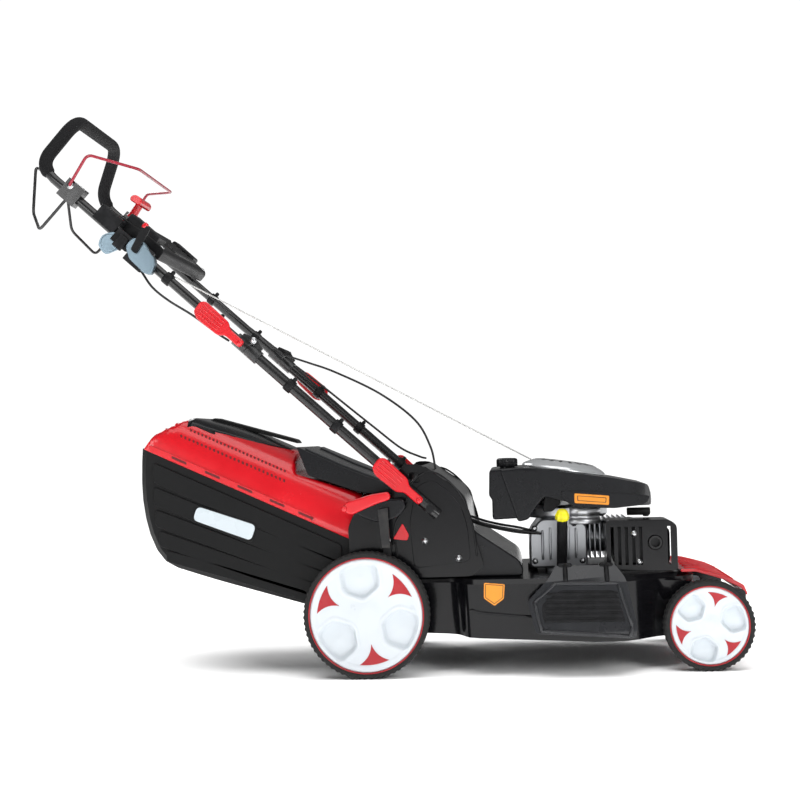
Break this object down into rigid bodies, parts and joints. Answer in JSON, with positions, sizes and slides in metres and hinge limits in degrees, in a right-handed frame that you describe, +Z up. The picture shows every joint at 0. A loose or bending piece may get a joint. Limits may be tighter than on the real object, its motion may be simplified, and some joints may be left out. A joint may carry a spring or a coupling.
{
  "type": "lawn mower",
  "caption": "Walk-behind petrol lawn mower with steel deck, rear grass catcher, side discharge flap, cranked axles and a folding handle with control bails.",
  "frame": {"origin": "centre of the bounding box in plan, on the ground under the tyres", "axes": "+X forward, +Y to the mower's left, +Z up"},
  "size_m": [1.6424, 0.587, 1.3063],
  "materials": {
    "black_paint": "gloss black powder coat",
    "black_plastic": "moulded black plastic, fine texture",
    "grey_plastic": "dark grey moulded plastic",
    "red_plastic": "glossy red moulded plastic",
    "white_plastic": "white moulded plastic",
    "tyre_rubber": "black rubber with block tread",
    "silver_paint": "bright silver paint",
    "cast_alloy": "die-cast, satin",
    "bright_alloy": "bright pressed sheet",
    "steel": "plain steel",
    "zinc": "zinc plated",
    "rubber": "black cable sheath and rubber",
    "foam": "matt foam sleeve",
    "yellow_plastic": "yellow plastic",
    "rope": "white braided cord",
    "red_paint": "dark red plastic-coated wire"
  },
  "bodies": {
    "deck": {"deck_shell": "black_paint", "chute_housing": "black_plastic", "bracket_right": "black_paint", "bracket_left": "black_paint", "front_cover": "red_plastic", "crankcase": "cast_alloy", "cylinder": "cast_alloy", "muffler": "steel", "muffler_guard": "black_paint", "blower_housing": "bright_alloy", "engine_cowl": "black_plastic", "recoil_cover": "silver_paint", "fuel_tank": "black_plastic", "air_filter_box": "black_plastic", "spark_plug_boot": "rubber", "oil_filler_tube": "black_plastic"},
    "crank": {"crankshaft": "steel", "flywheel": "cast_alloy", "blade": "steel"},
    "rear_axle": {"rear_axle": "steel", "gearbox": "cast_alloy", "height_grip": "red_plastic"},
    "front_axle": {"front_axle": "steel"},
    "wheel_rear_right": {"rear_right_tyre": "tyre_rubber", "rear_right_rim": "white_plastic"},
    "wheel_rear_left": {"rear_left_tyre": "tyre_rubber", "rear_left_rim": "white_plastic"},
    "wheel_front_right": {"front_right_tyre": "tyre_rubber", "front_right_rim": "white_plastic"},
    "wheel_front_left": {"front_left_tyre": "tyre_rubber", "front_left_rim": "white_plastic"},
    "side_flap": {"side_flap": "grey_plastic"},
    "rear_flap": {"rear_flap": "black_plastic"},
    "fuel_cap": {"fuel_cap": "black_plastic"},
    "dipstick": {"dipstick": "yellow_plastic"},
    "catcher": {"catcher_tub": "black_plastic", "catcher_lid": "red_plastic", "catcher_handle": "black_plastic"},
    "lower_handle": {"lower_tube_right": "black_paint", "lower_tube_left": "black_paint", "throttle_cable_lower": "rubber", "rope_lower": "rope", "brake_cable": "rubber"},
    "upper_handle": {"upper_handle": "black_paint", "foam_grip": "foam", "console": "black_plastic", "throttle_body": "zinc", "drive_cable": "rubber", "throttle_cable_upper": "rubber", "rope_upper": "rope"},
    "brake_bail": {"brake_bail": "red_paint"},
    "drive_bail": {"drive_bail": "black_paint"},
    "throttle_lever": {"throttle_lever": "black_plastic"},
    "starter_grip": {"starter_grip": "red_plastic"},
    "clamp_lever_right": {"clamp_lever_right": "red_plastic"},
    "clamp_lever_left": {"clamp_lever_left": "red_plastic"},
    "fold_lever_right": {"fold_lever_right": "red_plastic"},
    "fold_lever_left": {"fold_lever_left": "red_plastic"}
  },
  "joints": [
    {"name": "height_adjust", "type": "hinge", "parent": "deck", "child": "rear_axle", "pos_m": [0.03099, 0.0135, 0.16394], "axis": [0, 1, 0], "range_deg": [0, 45]},
    {"name": "front_height", "type": "hinge", "parent": "deck", "child": "front_axle", "pos_m": [0.78699, 0.0135, 0.12394], "axis": [0, 1, 0], "range_deg": [0, 45]},
    {"name": "spin_rear_right", "type": "hinge", "parent": "rear_axle", "child": "wheel_rear_right", "pos_m": [-0.03479, -0.2415, 0.14], "axis": [0, 1, 0], "continuous": true},
    {"name": "spin_rear_left", "type": "hinge", "parent": "rear_axle", "child": "wheel_rear_left", "pos_m": [-0.03479, 0.2685, 0.14], "axis": [0, 1, 0], "continuous": true},
    {"name": "spin_front_right", "type": "hinge", "parent": "front_axle", "child": "wheel_front_right", "pos_m": [0.72121, -0.2085, 0.1], "axis": [0, 1, 0], "continuous": true},
    {"name": "spin_front_left", "type": "hinge", "parent": "front_axle", "child": "wheel_front_left", "pos_m": [0.72121, 0.2355, 0.1], "axis": [0, 1, 0], "continuous": true},
    {"name": "crank_spin", "type": "hinge", "parent": "deck", "child": "crank", "pos_m": [0.42121, 0.0135, 0.1], "axis": [0, 0, 1], "continuous": true},
    {"name": "side_flap_hinge", "type": "hinge", "parent": "deck", "child": "side_flap", "pos_m": [0.45221, -0.2385, 0.236], "axis": [-1, 0, 0], "range_deg": [0, 75], "stiffness_Nm_per_rad": 0.3},
    {"name": "rear_flap_hinge", "type": "hinge", "parent": "deck", "child": "rear_flap", "pos_m": [0.04521, 0.0135, 0.418], "axis": [0, 1, 0], "range_deg": [0, 65]},
    {"name": "fuel_cap_turn", "type": "hinge", "parent": "deck", "child": "fuel_cap", "pos_m": [0.28321, -0.0465, 0.465], "axis": [0, 0, 1], "range_deg": [0, 90]},
    {"name": "dipstick_pull", "type": "slide", "parent": "deck", "child": "dipstick", "axis": [0.0173, -0.3549, 0.9348], "range_m": [0, 0.11]},
    {"name": "catcher_lift", "type": "slide", "parent": "deck", "child": "catcher", "axis": [-0.951, 0, 0.3092], "range_m": [0, 0.4]},
    {"name": "lower_fold", "type": "hinge", "parent": "deck", "child": "lower_handle", "pos_m": [0.10921, 0.0135, 0.37], "axis": [0, 1, 0], "range_deg": [0, 115], "deforming": ["throttle_cable_lower", "rope_lower", "brake_cable"]},
    {"name": "upper_fold", "type": "hinge", "parent": "lower_handle", "child": "upper_handle", "pos_m": [-0.27955, 0.0135, 0.75691], "axis": [0, -1, 0], "range_deg": [-140, 0], "deforming": ["throttle_cable_upper", "rope_upper"]},
    {"name": "brake_bail_pull", "type": "hinge", "parent": "upper_handle", "child": "brake_bail", "pos_m": [-0.69065, 0.0135, 1.12089], "axis": [0, -1, 0], "range_deg": [0, 60], "stiffness_Nm_per_rad": 0.8},
    {"name": "drive_bail_pull", "type": "hinge", "parent": "upper_handle", "child": "drive_bail", "pos_m": [-0.70685, 0.0135, 1.10318], "axis": [0, 1, 0], "range_deg": [0, 40], "stiffness_Nm_per_rad": 0.8},
    {"name": "throttle_turn", "type": "hinge", "parent": "upper_handle", "child": "throttle_lever", "pos_m": [-0.53663, -0.2465, 0.96776], "axis": [0, 1, 0], "range_deg": [-25, 25]},
    {"name": "starter_pull", "type": "slide", "parent": "upper_handle", "child": "starter_grip", "axis": [0.5819, 0, 0.8133], "range_m": [0, 0.45], "stiffness_N_per_m": 6},
    {"name": "clamp_right_open", "type": "hinge", "parent": "upper_handle", "child": "clamp_lever_right", "pos_m": [-0.30688, -0.243, 0.75074], "axis": [0.6751, 0, 0.7377], "range_deg": [0, 100]},
    {"name": "clamp_left_open", "type": "hinge", "parent": "lower_handle", "child": "clamp_lever_left", "pos_m": [-0.28327, 0.27, 0.72914], "axis": [0.6751, 0, 0.7377], "range_deg": [0, 100]},
    {"name": "fold_lever_right_open", "type": "hinge", "parent": "lower_handle", "child": "fold_lever_right", "pos_m": [0.08708, -0.239, 0.39025], "axis": [-0.6751, 0, -0.7377], "range_deg": [-100, 0]},
    {"name": "fold_lever_left_open", "type": "hinge", "parent": "lower_handle", "child": "fold_lever_left", "pos_m": [0.08708, 0.266, 0.39025], "axis": [-0.6751, 0, -0.7377], "range_deg": [0, 100]}
  ],
  "couplings": [
    {"joint": "front_height", "follows": "height_adjust", "ratio": 1}
  ]
}
